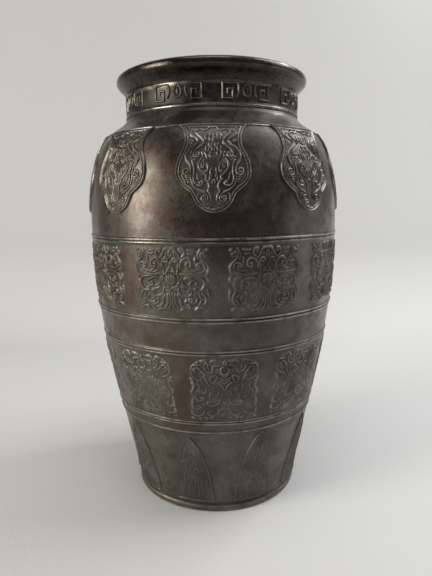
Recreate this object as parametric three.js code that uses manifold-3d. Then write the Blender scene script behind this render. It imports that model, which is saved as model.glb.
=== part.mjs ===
// Bronze vase with a rolled lip, hanging lappets, two belts of scroll panels and a ring of blades.
// Millimetres, +Z up, origin at the centre of the foot's underside, front towards -Y.
// The vase is built as its maker builds it in wax: a turned wall, a lip set over the neck, a base plate let
// into the foot, and ornaments that are pressed one by one and laid on the wall.

import * as THREE from 'three';
import { mergeVertices } from 'three/addons/utils/BufferGeometryUtils.js';
import Module from 'manifold-3d';

const wasm = await Module();
wasm.setup();

// Driving dimensions

// Clearance between pieces that touch
const seam_gap = 0.3;
const seat_gap = 0.35;

// Foot
const foot_radius = 60;
const foot_rim_radius = 61.4;
const foot_rim_height = 5;
const foot_groove_width = 3;
const foot_groove_depth = 0.8;

// Body: radii at the stem, the belly and the shoulder line, and how far the belly lies below that line
const stem_radius = 61.6;
const belly_radius = 89.2;
const shoulder_radius = 75.6;
const belly_drop = 59;
const wall_thickness = 3.5;

// Neck, and the concave sweep that leads to it from the shoulder line
const sweep_rise = 12;
const neck_radius = 61;
const neck_wall = 3.5;
const neck_rise = 16.3;
const neck_fillet_width = 3;
const neck_fillet_lift = 0.6;

// Lip: a hollow roll with a socket over the neck's spigot
const lip_overhang = 6.4;
const lip_height = 12.7;
const spigot_step = 1.6;
const spigot_height = 3;
const lip_skirt_lift = 0.7;

// Bands of the wall, stacked from the foot upwards
const blade_zone_height = 56.9;
const strip_height = 6.6;
const lower_belt_height = 51.3;
const plain_band_height = 21.2;
const upper_belt_height = 48.6;
const shoulder_zone_height = 66.4;

// Turned border fillets
const fillet_width = 2.2;
const fillet_lift = 0.9;
const line_width = 1.4;
const line_lift = 0.6;

// Base plate and its solder
const base_thickness = 3;
const base_recess = 6;
const base_ledge_width = 2;
const base_bearing_width = 2.6;
const solder_leg = 2.2;

// Ornaments: their relief over the wall, and the raised rim of the framed ones
const ornament_count = 9;
const lappet_relief = 1.5;
const panel_relief = 1.1;
const blade_relief = 1;
const fret_relief = 0.9;
const rim_width = 1.5;
const rim_slope_width = 0.8;
const scroll_width = 1.8;

// Lappet
const lappet_half_width = 22.3;
const lappet_length = 51.3;

// Scroll panels
const upper_panel_half_width = 23.6;
const upper_panel_height = 38.6;
const lower_panel_half_width = 21.6;
const lower_panel_height = 41.5;

// Blade
const blade_half_width = 13.1;
const blade_length = 53.5;

// Neck fret
const fret_half_width = 16.2;
const fret_height = 10.4;
const fret_line_width = 1.3;

// Facets round the vase
const wall_segments = 36;

// Degrees round the vase at which each row of ornaments starts, and by which it is spaced wider in front than
// behind, because the maker sets them by eye
const full_turn_degrees = 360;
const lappet_start_degrees = 0.5;
const lappet_crowding_degrees = 3.4;
const fret_start_degrees = 20.5;
const fret_crowding_degrees = 1.5;
const upper_panel_start_degrees = 22.3;
const upper_panel_crowding_degrees = -3.2;
const lower_panel_start_degrees = 4.3;
const lower_panel_crowding_degrees = -0.3;
const blade_start_degrees = 25;
const blade_crowding_degrees = -3.2;

// Colours of the bronze
const bronze_dark = 0x33291f;
const bronze_brown = 0x3d3027;
const bronze_grey = 0x4a433c;
const solder_grey = 0x77746c;

// Heights that follow from the dimensions above

const stem_height = foot_rim_height + foot_groove_width;
const lower_line_height = stem_height + blade_zone_height;
const lower_belt_bottom = lower_line_height + strip_height;
const lower_belt_top = lower_belt_bottom + lower_belt_height;
const upper_belt_bottom = lower_belt_top + plain_band_height;
const upper_belt_top = upper_belt_bottom + upper_belt_height;
const shoulder_height = upper_belt_top + shoulder_zone_height;
const belly_height = shoulder_height - belly_drop;
const neck_bottom = shoulder_height + sweep_rise;
const neck_top = neck_bottom + neck_rise;
const total_height = neck_top + lip_height;

const mouth_radius = neck_radius - neck_wall;
const lip_radius = neck_radius + lip_overhang;
const spigot_radius = neck_radius - spigot_step;
const spigot_top = neck_top + spigot_height;

// The bare wall's curve

// Each pair is a share of the rise from the stem to the belly, and of the swell in radius over that rise.
const lower_body_shares = [
  [0, 0], [0.062, 0.06], [0.164, 0.22], [0.279, 0.388], [0.389, 0.553], [0.504, 0.697],
  [0.608, 0.81], [0.713, 0.911], [0.817, 0.97], [0.911, 0.992], [1, 1],
];

// Each pair is a share of the rise from the belly to the shoulder line, and of the fall in radius over it.
const shoulder_shares = [
  [0.288, 0.051], [0.508, 0.184], [0.678, 0.36], [0.814, 0.551], [0.915, 0.75], [1, 1],
];

const body_curve_steps = 160;

function makeBodyCurve() {
  const stations = [];
  for (const [rise, swell] of lower_body_shares) {
    const radius = stem_radius + swell * (belly_radius - stem_radius);
    const height = stem_height + rise * (belly_height - stem_height);
    stations.push(new THREE.Vector2(radius, height));
  }
  for (const [rise, fall] of shoulder_shares) {
    const radius = belly_radius - fall * (belly_radius - shoulder_radius);
    stations.push(new THREE.Vector2(radius, belly_height + rise * belly_drop));
  }
  return new THREE.SplineCurve(stations).getPoints(body_curve_steps);
}

const body_curve = makeBodyCurve();

// Radius of the bare wall at a height
function bodyRadius(height) {
  for (let i = 1; i < body_curve.length; i += 1) {
    const low = body_curve[i - 1];
    const high = body_curve[i];
    if (height <= high.y) {
      const share = (height - low.y) / (high.y - low.y);
      return low.x + share * (high.x - low.x);
    }
  }
  return body_curve[body_curve.length - 1].x;
}

// Outward direction of the bare wall at a height, as a vector of radius and height
function bodyNormal(height) {
  const reach = wall_thickness;
  const slope = (bodyRadius(height + reach) - bodyRadius(height - reach)) / (reach + reach);
  return new THREE.Vector2(1, -slope).normalize();
}

// Profiles and revolved pieces

function at(radius, height) {
  return new THREE.Vector2(radius, height);
}

// A closed profile of radius and height, turned about the vase's axis
function revolve(profile) {
  const closed = [...profile, profile[0].clone()];
  const geometry = new THREE.LatheGeometry(closed, wall_segments);
  return geometry.rotateX(Math.PI / 2);
}

// A profile that starts and ends on the axis
function revolveDisc(profile) {
  const geometry = new THREE.LatheGeometry(profile, wall_segments);
  return geometry.rotateX(Math.PI / 2);
}

// A turned border fillet: it leaves the wall, runs level over half its width and comes back
function fillet(height) {
  const low = height - fillet_width / 2;
  const high = height + fillet_width / 2;
  const crown = fillet_width / 4;
  return [
    at(bodyRadius(low), low),
    at(bodyRadius(height) + fillet_lift, height - crown),
    at(bodyRadius(height) + fillet_lift, height + crown),
    at(bodyRadius(high), high),
  ];
}

// A thin turned line, which comes to an edge
function turnedLine(height) {
  return [
    at(bodyRadius(height - line_width / 2), height - line_width / 2),
    at(bodyRadius(height) + line_lift, height),
    at(bodyRadius(height + line_width / 2), height + line_width / 2),
  ];
}

// Even points of the bare wall between two heights, without its ends
function plainWall(low, high, steps) {
  const points = [];
  for (let i = 1; i < steps; i += 1) {
    const height = low + (high - low) * (i / steps);
    points.push(at(bodyRadius(height), height));
  }
  return points;
}

// The concave sweep from the shoulder line to the neck: its hollow lies this share of the way in and up
const sweep_in_share = 0.55;
const sweep_up_share = 0.37;
const sweep_steps = 4;

function sweepPoints() {
  const hollow = at(
    shoulder_radius - sweep_in_share * (shoulder_radius - neck_radius),
    shoulder_height + sweep_up_share * sweep_rise,
  );
  const start = at(shoulder_radius, shoulder_height);
  const curve = new THREE.QuadraticBezierCurve(start, hollow, at(neck_radius, neck_bottom));
  return curve.getPoints(sweep_steps).slice(1);
}

// Vessel wall

const ledge_radius = stem_radius - wall_thickness - base_ledge_width;
const rebate_radius = foot_radius - base_bearing_width;
const ledge_height = base_recess + base_thickness + seam_gap;
const inner_steps = 8;

function wallProfile() {
  const outside = [
    at(foot_radius, 0),
    at(foot_rim_radius, foot_rim_height / 2),
    at(foot_rim_radius, foot_rim_height),
    at(stem_radius - foot_groove_depth, foot_rim_height + foot_groove_width / 2),
    at(stem_radius, stem_height),
    ...plainWall(stem_height, lower_line_height, 4),
    ...turnedLine(lower_line_height),
    ...fillet(lower_belt_bottom),
    ...plainWall(lower_belt_bottom, lower_belt_top, 2),
    ...fillet(lower_belt_top),
    ...fillet(upper_belt_bottom),
    ...plainWall(upper_belt_bottom, upper_belt_top, 2),
    ...fillet(upper_belt_top),
    ...plainWall(upper_belt_top, shoulder_height, 6),
    ...turnedLine(shoulder_height).slice(0, 2),
    ...sweepPoints(),
    at(neck_radius + neck_fillet_lift, neck_bottom + neck_fillet_width / 4),
    at(neck_radius + neck_fillet_lift, neck_bottom + neck_fillet_width / 2),
    at(neck_radius, neck_bottom + neck_fillet_width),
    at(neck_radius, neck_top),
    at(spigot_radius, neck_top),
    at(spigot_radius, spigot_top),
  ];
  const inside = [
    at(mouth_radius, spigot_top),
    at(mouth_radius, neck_bottom),
  ];
  for (let i = 0; i < inner_steps; i += 1) {
    const height = shoulder_height - (shoulder_height - ledge_height) * (i / inner_steps);
    const normal = bodyNormal(height);
    inside.push(at(bodyRadius(height) - wall_thickness * normal.x, height - wall_thickness * normal.y));
  }
  const seat = [
    at(ledge_radius, ledge_height + wall_thickness),
    at(ledge_radius, ledge_height),
    at(rebate_radius, ledge_height),
    at(rebate_radius, 0),
  ];
  return [...outside, ...inside, ...seat];
}

// Lip ring

// Each pair is a share of the reach from the mouth to the lip's edge, and of the rise from the neck's top.
const lip_section_shares = [
  [0.58, 0.29], [0.86, 0.46], [1, 0.7], [0.95, 0.87], [0.8, 0.965], [0.55, 1], [0.2, 0.94], [0, 0.72],
];

function lipProfile() {
  const reach = lip_radius - mouth_radius;
  const roll = lip_section_shares.map(
    ([out, up]) => at(mouth_radius + out * reach, neck_top + up * lip_height),
  );
  return [
    at(spigot_radius + seam_gap, neck_top + seam_gap),
    at(neck_radius + lip_skirt_lift, neck_top + seam_gap),
    ...roll,
    at(mouth_radius, spigot_top + seam_gap),
    at(spigot_radius + seam_gap, spigot_top + seam_gap),
  ];
}

// Base plate, and the run of solder in the corner under it

const base_radius = rebate_radius - seam_gap;
const base_top = ledge_height - seam_gap;

function baseProfile() {
  return [
    at(0, base_top - base_thickness),
    at(base_radius, base_top - base_thickness),
    at(base_radius, base_top),
    at(0, base_top),
  ];
}

function solderProfile() {
  const top = base_top - base_thickness - seam_gap;
  const outer = rebate_radius - seam_gap;
  return [at(outer - solder_leg, top), at(outer, top - solder_leg), at(outer, top)];
}

// Ornaments laid on the wall

// A point of an ornament: along is its distance round the wall from the ornament's middle
function laidOn(radius, along, height, lift) {
  const turn = along / radius;
  const out = radius + lift;
  return [out * Math.sin(turn), -out * Math.cos(turn), height];
}

function onWall(along, height, lift) {
  return laidOn(bodyRadius(height), along, height, lift);
}

function onNeck(along, height, lift) {
  return laidOn(neck_radius, along, height, lift);
}

// A closed mesh from rings of points that all have the same count, with a fan at each end
function ringMesh(rings, first_point, last_point) {
  const count = rings[0].length;
  const positions = [...rings.flat(), first_point, last_point].flat();
  const first = rings.length * count;
  const last = first + 1;
  const index = [];
  for (let i = 0; i < count; i += 1) {
    const next = (i + 1) % count;
    index.push(first, i, next);
    for (let ring = 0; ring + 1 < rings.length; ring += 1) {
      const a = ring * count;
      const b = a + count;
      index.push(a + i, b + next, a + next, a + i, b + i, b + next);
    }
    const end = (rings.length - 1) * count;
    index.push(last, end + next, end + i);
  }
  const geometry = new THREE.BufferGeometry();
  geometry.setAttribute('position', new THREE.Float32BufferAttribute(positions, 3));
  geometry.setIndex(index);
  return geometry;
}

// An outline of the right half, from the top centre to the bottom centre, mirrored to the whole
function mirrored(half_outline) {
  const left = half_outline.slice(1, -1).reverse().map((point) => at(-point.x, point.y));
  return [...half_outline, ...left];
}

// The outline drawn in towards the ornament's middle by a width
function drawnIn(outline, middle, width) {
  return outline.map((point) => {
    const arm = point.clone().sub(middle);
    return middle.clone().addScaledVector(arm, 1 - width / arm.length());
  });
}

// A closed outline moved outwards by a distance along the bisector of each corner
function movedOut(outline, distance) {
  const count = outline.length;
  return outline.map((point, i) => {
    const ahead = outline[(i + 1) % count].clone().sub(point).normalize();
    const behind = point.clone().sub(outline[(i + count - 1) % count]).normalize();
    const side = at(-ahead.y - behind.y, ahead.x + behind.x).divideScalar(1 + ahead.dot(behind));
    return point.clone().addScaledVector(side, distance);
  });
}

// The outline shrunk about the ornament's middle to a share
function shrunk(outline, middle, share) {
  return outline.map((point) => middle.clone().lerp(point, share));
}

// A relief laid on the wall. Levels lists the rings of its face, each an outline and its lift over the wall.
function relief(outline, middle, levels, crown_lift, back_shares) {
  const lay = (point, lift) => onWall(point.x, point.y, lift);
  const layRing = (ring, lift) => ring.map((point) => lay(point, lift));
  const back = back_shares.map((share) => layRing(shrunk(outline, middle, share), seat_gap));
  const face = levels.map(([ring, lift]) => layRing(ring, lift));
  return ringMesh([...back, ...face], lay(middle, seat_gap), lay(middle, crown_lift));
}

// Lappet: a flared top, a waist, a wide belly and a cusp on each side of the lobe that it ends in.
// Each pair is a share of the half width, and of the length down from the shoulder line.
const lappet_outline_shares = [
  [0, 0], [0.46, 0], [0.94, 0], [0.75, 0.11], [0.92, 0.33], [1, 0.52], [0.92, 0.65], [0.74, 0.71],
  [0.54, 0.775], [0.47, 0.84], [0.3, 0.93], [0, 1],
];
// The scroll inside its rim, as the same pairs: a crown, a waist, two shoulders, and an end in the lobe.
const lappet_scroll_shares = [
  [0, 0.085], [0.22, 0.075], [0.43, 0.115], [0.3, 0.215], [0.6, 0.355], [0.68, 0.425], [0.575, 0.52],
  [0.535, 0.64], [0.38, 0.73], [0.18, 0.765], [0.1, 0.83], [0, 0.91],
];
const lappet_middle_share = 0.45;
const lappet_back_shares = [0.35, 0.7, 1];
const field_share = 0.6;
const scroll_lift_share = 0.9;
const lappet_crown_share = 0.65;
const crown_share = 0.9;

function lappetGeometry() {
  const top = shoulder_height - line_width / 2 - seam_gap;
  const place = ([out, down]) => at(out * lappet_half_width, top - down * lappet_length);
  const outline = mirrored(lappet_outline_shares.map(place));
  const scroll = mirrored(lappet_scroll_shares.map(place));
  const middle = place([0, lappet_middle_share]);
  const field = field_share * lappet_relief;
  const levels = [
    [outline, lappet_relief],
    [drawnIn(outline, middle, rim_width), lappet_relief],
    [drawnIn(outline, middle, rim_width + rim_slope_width), field],
    [movedOut(scroll, scroll_width / 2), field],
    [scroll, scroll_lift_share * lappet_relief],
    [movedOut(scroll, -scroll_width / 2), field],
  ];
  return relief(outline, middle, levels, lappet_crown_share * lappet_relief, lappet_back_shares);
}

// Scroll panel: a near-rectangular spray of scrolls round a boss, so its edge runs in and out.
// Each pair is a share of the half width and of the half height of one quarter of the panel.
const panel_quarter_shares = [[0, 0.92], [0.5, 1], [0.96, 0.96], [0.92, 0.45]];
const panel_edge_share = 0.86;
const panel_boss_foot_share = 0.4;
const panel_back_shares = [0.5, 1];

function panelOutline(half_width, half_height, centre_height) {
  const right_top = panel_quarter_shares.map(([out, up]) => at(out * half_width, up * half_height));
  const right_bottom = right_top.slice().reverse().map((point) => at(point.x, -point.y));
  const half = [...right_top, at(half_width, 0), ...right_bottom];
  return mirrored(half).map((point) => at(point.x, centre_height + point.y));
}

function panelGeometry(half_width, height, belt_bottom, belt_height) {
  const centre_height = belt_bottom + belt_height / 2;
  const outline = panelOutline(half_width, height / 2, centre_height);
  const middle = at(0, centre_height);
  const field = field_share * panel_relief;
  const levels = [
    [outline, field],
    [shrunk(outline, middle, panel_edge_share), panel_relief],
    [shrunk(outline, middle, panel_boss_foot_share), field],
  ];
  return relief(outline, middle, levels, panel_relief, panel_back_shares);
}

// Blade: a pointed arch that stands on the foot.
// Each pair is a share of the half width, and of the length down from the tip.
const blade_outline_shares = [
  [0, 0], [0.2, 0.07], [0.53, 0.27], [0.75, 0.5], [0.92, 0.8], [1, 1], [0.5, 1], [0, 1],
];
const blade_middle_share = 0.66;
const blade_back_shares = [0.5, 1];

function bladeGeometry() {
  const top = stem_height + blade_length;
  const outline = mirrored(blade_outline_shares.map(
    ([out, down]) => at(out * blade_half_width, top - down * blade_length),
  ));
  const middle = at(0, top - blade_middle_share * blade_length);
  const field = field_share * blade_relief;
  const levels = [
    [outline, blade_relief],
    [drawnIn(outline, middle, rim_width), blade_relief],
    [drawnIn(outline, middle, rim_width + rim_slope_width), field],
  ];
  return relief(outline, middle, levels, crown_share * blade_relief, blade_back_shares);
}

// Neck fret: two square hooks that face each other across an oval boss.
// A hook's line leaves the boss, rises, runs out over the top, comes down the side and turns in below.
// Each pair is a share of the half width and of the height.
const hook_path_shares = [[0.04, 0.42], [0.42, 0.42], [0.42, 1], [1, 1], [1, 0], [0.66, 0]];
const boss_half_width_share = 0.14;
const boss_half_height_share = 0.36;
const boss_sides = 6;

function toManifold(geometry) {
  const merged = mergeVertices(geometry);
  return new wasm.Manifold(new wasm.Mesh({
    numProp: 3,
    vertProperties: new Float32Array(merged.attributes.position.array),
    triVerts: new Uint32Array(merged.index.array),
  }));
}

function toGeometry(solid) {
  const mesh = solid.getMesh();
  const geometry = new THREE.BufferGeometry();
  geometry.setAttribute('position', new THREE.Float32BufferAttribute(mesh.vertProperties, mesh.numProp));
  geometry.setIndex(new THREE.Uint32BufferAttribute(mesh.triVerts, 1));
  return geometry;
}

// Four corners of a line's section where it passes a corner of its path, mitred to both neighbours
function hookSection(path, i, base_height) {
  const here = path[i];
  const before = path[Math.max(i - 1, 0)];
  const after = path[Math.min(i + 1, path.length - 1)];
  const entering = here.clone().sub(i === 0 ? after : before).multiplyScalar(i === 0 ? -1 : 1).normalize();
  const leaving = after.clone().sub(here);
  const ahead = leaving.length() > 0 ? leaving.normalize() : entering;
  const side = at(-entering.y, entering.x).add(at(-ahead.y, ahead.x)).divideScalar(1 + entering.dot(ahead));
  const left = here.clone().addScaledVector(side, fret_line_width / 2);
  const right = here.clone().addScaledVector(side, -fret_line_width / 2);
  return [
    onNeck(left.x, base_height + left.y, seat_gap),
    onNeck(right.x, base_height + right.y, seat_gap),
    onNeck(right.x, base_height + right.y, fret_relief),
    onNeck(left.x, base_height + left.y, fret_relief),
  ];
}

function middlePoint(points) {
  const sum = points.reduce((total, point) => total.map((value, axis) => value + point[axis]));
  return sum.map((value) => value / points.length);
}

// One hook, on the right of the boss for side 1 and on the left for side -1
function hookGeometry(side, base_height) {
  const run = fret_half_width - fret_line_width / 2;
  const rise = fret_height - fret_line_width;
  const shares = side > 0 ? hook_path_shares : hook_path_shares.slice().reverse();
  const path = shares.map(([out, up]) => at(side * out * run, fret_line_width / 2 + up * rise));
  const sections = path.map((point, i) => hookSection(path, i, base_height));
  return ringMesh(sections, middlePoint(sections[0]), middlePoint(sections[sections.length - 1]));
}

function bossGeometry(base_height) {
  const height = base_height + fret_line_width / 2 + hook_path_shares[0][1] * (fret_height - fret_line_width);
  const outline = [];
  for (let i = 0; i < boss_sides; i += 1) {
    const turn = -(i / boss_sides) * 2 * Math.PI;
    const out = Math.cos(turn) * boss_half_width_share * fret_half_width;
    const up = Math.sin(turn) * boss_half_height_share * fret_height;
    outline.push([out, height + up]);
  }
  const rings = [seat_gap, fret_relief].map((lift) => outline.map(([out, up]) => onNeck(out, up, lift)));
  return ringMesh(rings, onNeck(0, height, seat_gap), onNeck(0, height, fret_relief));
}

function fretGeometry() {
  const zone = neck_rise - neck_fillet_width;
  const base_height = neck_bottom + neck_fillet_width + (zone - fret_height) / 2;
  const shapes = [bossGeometry(base_height), hookGeometry(1, base_height), hookGeometry(-1, base_height)];
  return toGeometry(shapes.map(toManifold).reduce((whole, solid) => whole.add(solid)));
}

// Materials

function bronze(color, roughness) {
  return new THREE.MeshStandardMaterial({ color, roughness, metalness: 0.9 });
}

const wall_bronze = bronze(bronze_brown, 0.38);
const lip_bronze = bronze(bronze_dark, 0.25);
const relief_bronze = bronze(bronze_grey, 0.5);
const solder = bronze(solder_grey, 0.6);

// The vase

const vase = new THREE.Group();

function addPiece(name, geometry, material, turn = 0) {
  const piece = new THREE.Mesh(geometry, material);
  piece.name = name;
  piece.rotation.z = turn;
  vase.add(piece);
}

// Lays one copy of an ornament at each of its even places round the wall, with the row's crowding
function addRow(name, geometry, start, crowding) {
  for (let i = 0; i < ornament_count; i += 1) {
    const even = (i * full_turn_degrees) / ornament_count + start;
    const turn = even + crowding * Math.sin(THREE.MathUtils.degToRad(even - lappet_start_degrees));
    addPiece(`${name}_${i + 1}`, geometry, relief_bronze, THREE.MathUtils.degToRad(turn));
  }
}

addPiece('vessel_wall', revolve(wallProfile()), wall_bronze);
addPiece('lip_ring', revolve(lipProfile()), lip_bronze);
addPiece('base_plate', revolveDisc(baseProfile()), wall_bronze);
addPiece('base_solder', revolve(solderProfile()), solder);
addRow('lappet', lappetGeometry(), lappet_start_degrees, lappet_crowding_degrees);
addRow(
  'upper_panel',
  panelGeometry(upper_panel_half_width, upper_panel_height, upper_belt_bottom, upper_belt_height),
  upper_panel_start_degrees,
  upper_panel_crowding_degrees,
);
addRow(
  'lower_panel',
  panelGeometry(lower_panel_half_width, lower_panel_height, lower_belt_bottom, lower_belt_height),
  lower_panel_start_degrees,
  lower_panel_crowding_degrees,
);
addRow('blade', bladeGeometry(), blade_start_degrees, blade_crowding_degrees);
addRow('fret', fretGeometry(), fret_start_degrees, fret_crowding_degrees);

console.log(`total height ${total_height} mm, mouth ${2 * mouth_radius} mm across`);

export default vase;
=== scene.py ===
import math

import bpy
import numpy as np
from mathutils import Matrix, Vector


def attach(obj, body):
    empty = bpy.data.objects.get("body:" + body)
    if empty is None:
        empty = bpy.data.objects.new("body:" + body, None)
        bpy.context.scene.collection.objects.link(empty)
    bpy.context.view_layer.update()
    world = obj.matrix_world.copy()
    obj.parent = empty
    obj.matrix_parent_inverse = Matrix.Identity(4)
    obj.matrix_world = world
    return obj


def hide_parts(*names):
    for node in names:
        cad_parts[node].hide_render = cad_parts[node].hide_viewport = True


# Bronze vase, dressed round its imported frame. Metres, +Z up, the front lappet faces -Y.
# The sections follow the vase as it is put together: the table that it stands on, the turned wall, the lip,
# the ornaments that are pressed one by one and laid on the wall, and last the base plate.

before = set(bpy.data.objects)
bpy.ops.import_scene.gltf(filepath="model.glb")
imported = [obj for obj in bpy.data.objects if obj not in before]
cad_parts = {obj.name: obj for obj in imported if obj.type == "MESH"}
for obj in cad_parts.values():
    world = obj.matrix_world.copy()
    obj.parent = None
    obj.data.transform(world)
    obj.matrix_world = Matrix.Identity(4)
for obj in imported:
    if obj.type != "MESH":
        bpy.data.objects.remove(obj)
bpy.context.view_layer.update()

# Camera
# It stands in front of the vase and a little above its middle, tilted down, with a slight roll.

camera_place = (0.0013, -0.3734, 0.2120)
camera_tilt = math.radians(90 - 9.61)
camera_roll = math.radians(-0.74)
picture_height = 576
focal_length_in_pixels = 490.1

camera_data = bpy.data.cameras.new("camera")
camera_data.lens = camera_data.sensor_width * focal_length_in_pixels / picture_height
camera = bpy.data.objects.new("camera", camera_data)
camera.matrix_world = (
    Matrix.Translation(camera_place)
    @ Matrix.Rotation(camera_tilt, 4, "X")
    @ Matrix.Rotation(camera_roll, 4, "Z")
)
bpy.context.scene.collection.objects.link(camera)
bpy.context.scene.camera = camera
bpy.context.scene.view_settings.view_transform = "Standard"


# Table and backdrop
# A sheet of matt pale paper lies under the vase and turns up behind it in a tight curve. Its colour
# holds painted light and shade: it is darker to the left and upwards, its sides are painted shade, and
# a white card of painted light lies on it to the right. None of it is part of the vase.


class Value:
    """A node's socket that Python's arithmetic can extend with Math nodes."""

    def __init__(self, tree, socket):
        self.tree, self.socket = tree, socket

    def maths(self, operation, *others, clamp=False):
        settings = {"operation": operation, "use_clamp": clamp}
        return self.tree.node("ShaderNodeMath", settings, dict(enumerate((self, *others))))

    def __add__(self, other):
        return self.maths("ADD", other)

    def __sub__(self, other):
        return self.maths("SUBTRACT", other)

    def __mul__(self, other):
        return self.maths("MULTIPLY", other)

    def __truediv__(self, other):
        return self.maths("DIVIDE", other)

    def __rsub__(self, other):
        return self.tree.node("ShaderNodeMath", {"operation": "SUBTRACT"}, {0: other, 1: self})

    def clamped(self):
        return self.maths("ADD", 0.0, clamp=True)

    def between(self, low, high):
        """0 below low, 1 above high and a smooth climb between them. Low may be the higher one."""
        ends = {"Value": self, "From Min": low, "From Max": high}
        return self.tree.node("ShaderNodeMapRange", {"interpolation_type": "SMOOTHSTEP"}, ends)

    __radd__ = __add__


class Tree:
    """A node tree, whose nodes are added by a single call each."""

    def __init__(self, tree):
        self.tree = tree

    def node(self, kind, settings=None, inputs=None, output=0):
        node = self.tree.nodes.new(kind)
        for name, setting in (settings or {}).items():
            setattr(node, name, setting)
        for name, item in (inputs or {}).items():
            if isinstance(item, Value):
                self.tree.links.new(item.socket, node.inputs[name])
            else:
                node.inputs[name].default_value = item
        return Value(self, node.outputs[output])

    def axes(self, vector):
        return [self.node("ShaderNodeSeparateXYZ", None, {0: vector}, i) for i in range(3)]

    def end(self, kind, socket, value):
        self.tree.links.new(value.socket, self.tree.nodes.new(kind).inputs[socket])


class Finish(Tree):
    """One material."""

    def __init__(self, name):
        self.material = bpy.data.materials.new(name)
        self.material.use_nodes = True
        super().__init__(self.material.node_tree)
        self.tree.nodes.clear()
        self.place = self.node("ShaderNodeTexCoord", output="Object")

    def noise(self, scale, detail=3.0, roughness=0.55, distortion=0.0, place=None):
        inputs = {"Vector": place or self.place, "Scale": scale, "Detail": detail}
        inputs |= {"Roughness": roughness, "Distortion": distortion}
        return self.node("ShaderNodeTexNoise", None, inputs)

    def mix(self, factor, low, high):
        return self.node("ShaderNodeMix", {"data_type": "RGBA"}, {0: factor, 6: low, 7: high}, 2)

    def bumped(self, height, distance=1.0):
        return self.node("ShaderNodeBump", None, {"Height": height, "Distance": distance})

    def surface(self, **inputs):
        inputs = {name.replace("_", " "): item for name, item in inputs.items()}
        self.end("ShaderNodeOutputMaterial", "Surface", self.node("ShaderNodeBsdfPrincipled", None, inputs))
        return self.material


def mesh_object(name, points, faces):
    mesh = bpy.data.meshes.new(name)
    mesh.from_pydata([tuple(point) for point in points], [], [tuple(face) for face in faces])
    mesh.validate()
    mesh.shade_smooth()
    piece = bpy.data.objects.new(name, mesh)
    bpy.context.scene.collection.objects.link(piece)
    return piece


paper_half_width, paper_front, paper_top = 2.4, -1.6, 1.7
paper_turn, paper_turn_radius, paper_turn_steps = 0.50, 0.14, 16
paper_fibre_depth = 0.0002
# Painted light and shade: a darker left, a lighter right, a darker top, dark sides and a white card
paper_painted_shade_left, paper_painted_light_right, paper_painted_shade_high = (0.53, 0.53, 0.535, 1), (0.63, 0.63, 0.63, 1), (0.50, 0.50, 0.505, 1)
paper_painted_shade_side, painted_light_card_white = (0.22, 0.22, 0.22, 1), (0.88, 0.88, 0.88, 1)
# Where painted light turns the paper lighter to the right and painted shade darker upwards, and where
# its middle, its sides of painted shade and its card of painted light end
painted_light_right_span, painted_shade_high_span = (-0.55, 0.45), (0.15, 0.60)
middle_span, painted_shade_side_span, painted_light_card_span = (0.42, 0.54), (0.15, 0.30), (0.15, 0.05)


def paper_finish():
    finish = Finish("pale_paper")
    across, _, up = finish.axes(finish.place)
    # Painted light to the right and painted shade upwards
    colour = finish.mix(across.between(*painted_light_right_span), paper_painted_shade_left, paper_painted_light_right)
    colour = finish.mix(up.between(*painted_shade_high_span), colour, paper_painted_shade_high)
    # Painted shade on the sides, and a card of painted light on the floor to the right
    side = across.maths("ABSOLUTE").between(*middle_span) * up.between(*painted_shade_side_span)
    colour = finish.mix(side, colour, paper_painted_shade_side)
    painted_light_card = across.between(*middle_span) * up.between(*painted_light_card_span)
    colour = finish.mix(painted_light_card, colour, painted_light_card_white)
    fibre = finish.bumped(finish.noise(900.0, detail=2.0), paper_fibre_depth)
    return finish.surface(Base_Color=colour, Roughness=0.85, Normal=fibre)


def make_paper():
    profile = [(paper_front, 0.0)]
    for i in range(paper_turn_steps + 1):
        turn = math.pi / 2 * i / paper_turn_steps
        y = paper_turn - paper_turn_radius * (1 - math.sin(turn))
        profile.append((y, paper_turn_radius * (1 - math.cos(turn))))
    profile.append((paper_turn, paper_top))
    points = [(x, y, z) for y, z in profile for x in (-paper_half_width, paper_half_width)]
    faces = [(2 * i, 2 * i + 1, 2 * i + 3, 2 * i + 2) for i in range(len(profile) - 1)]
    paper = mesh_object("paper_sweep", points, faces)
    paper.data.materials.append(paper_finish())


make_paper()

# Studio light
# A window of soft light to the left, a larger one high on the right and a small one high behind, which
# gives the lip its highlight. A pale wall on the right and a ceiling fill the shadows.

world = bpy.data.worlds.new("studio")
world.use_nodes = True
background = world.node_tree.nodes["Background"].inputs
background["Color"].default_value = (0.40, 0.40, 0.40, 1)
background["Strength"].default_value = 0.5
bpy.context.scene.world = world

vase_middle, lip_front = (0.0, 0.0, 0.18), (0.03, -0.04, 0.28)
# Each lamp is its place, what it points at, its width and height, its power in watts and its colour
lamps = {
    "window_left": ((-0.93, -0.46, 0.42), vase_middle, (0.42, 0.60), 9.0, (1.0, 0.965, 0.82)),
    "window_right": ((0.88, 0.13, 1.05), vase_middle, (0.7, 0.8), 8.8, (0.99, 0.99, 1.0)),
    "bright_wall_right": ((1.15, 0.0, 0.12), vase_middle, (0.8, 0.4), 0.9, (1.0, 0.99, 0.97)),
    "ceiling": ((0.0, -0.4, 1.5), vase_middle, (0.9, 0.9), 6.9, (1.0, 1.0, 1.0)),
    "window_back": ((0.49, 0.30, 0.79), lip_front, (0.12, 0.10), 1.1, (1.0, 0.99, 0.96)),
}
for lamp_name, (place, target, size, power, colour) in lamps.items():
    light = bpy.data.lights.new(lamp_name, "AREA")
    light.shape = "RECTANGLE"
    light.size, light.size_y = size
    light.energy = power
    light.color = colour
    lamp = bpy.data.objects.new(lamp_name, light)
    lamp.location = place
    lamp.rotation_euler = (Vector(place) - Vector(target)).to_track_quat("Z", "Y").to_euler()
    bpy.context.scene.collection.objects.link(lamp)

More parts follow.
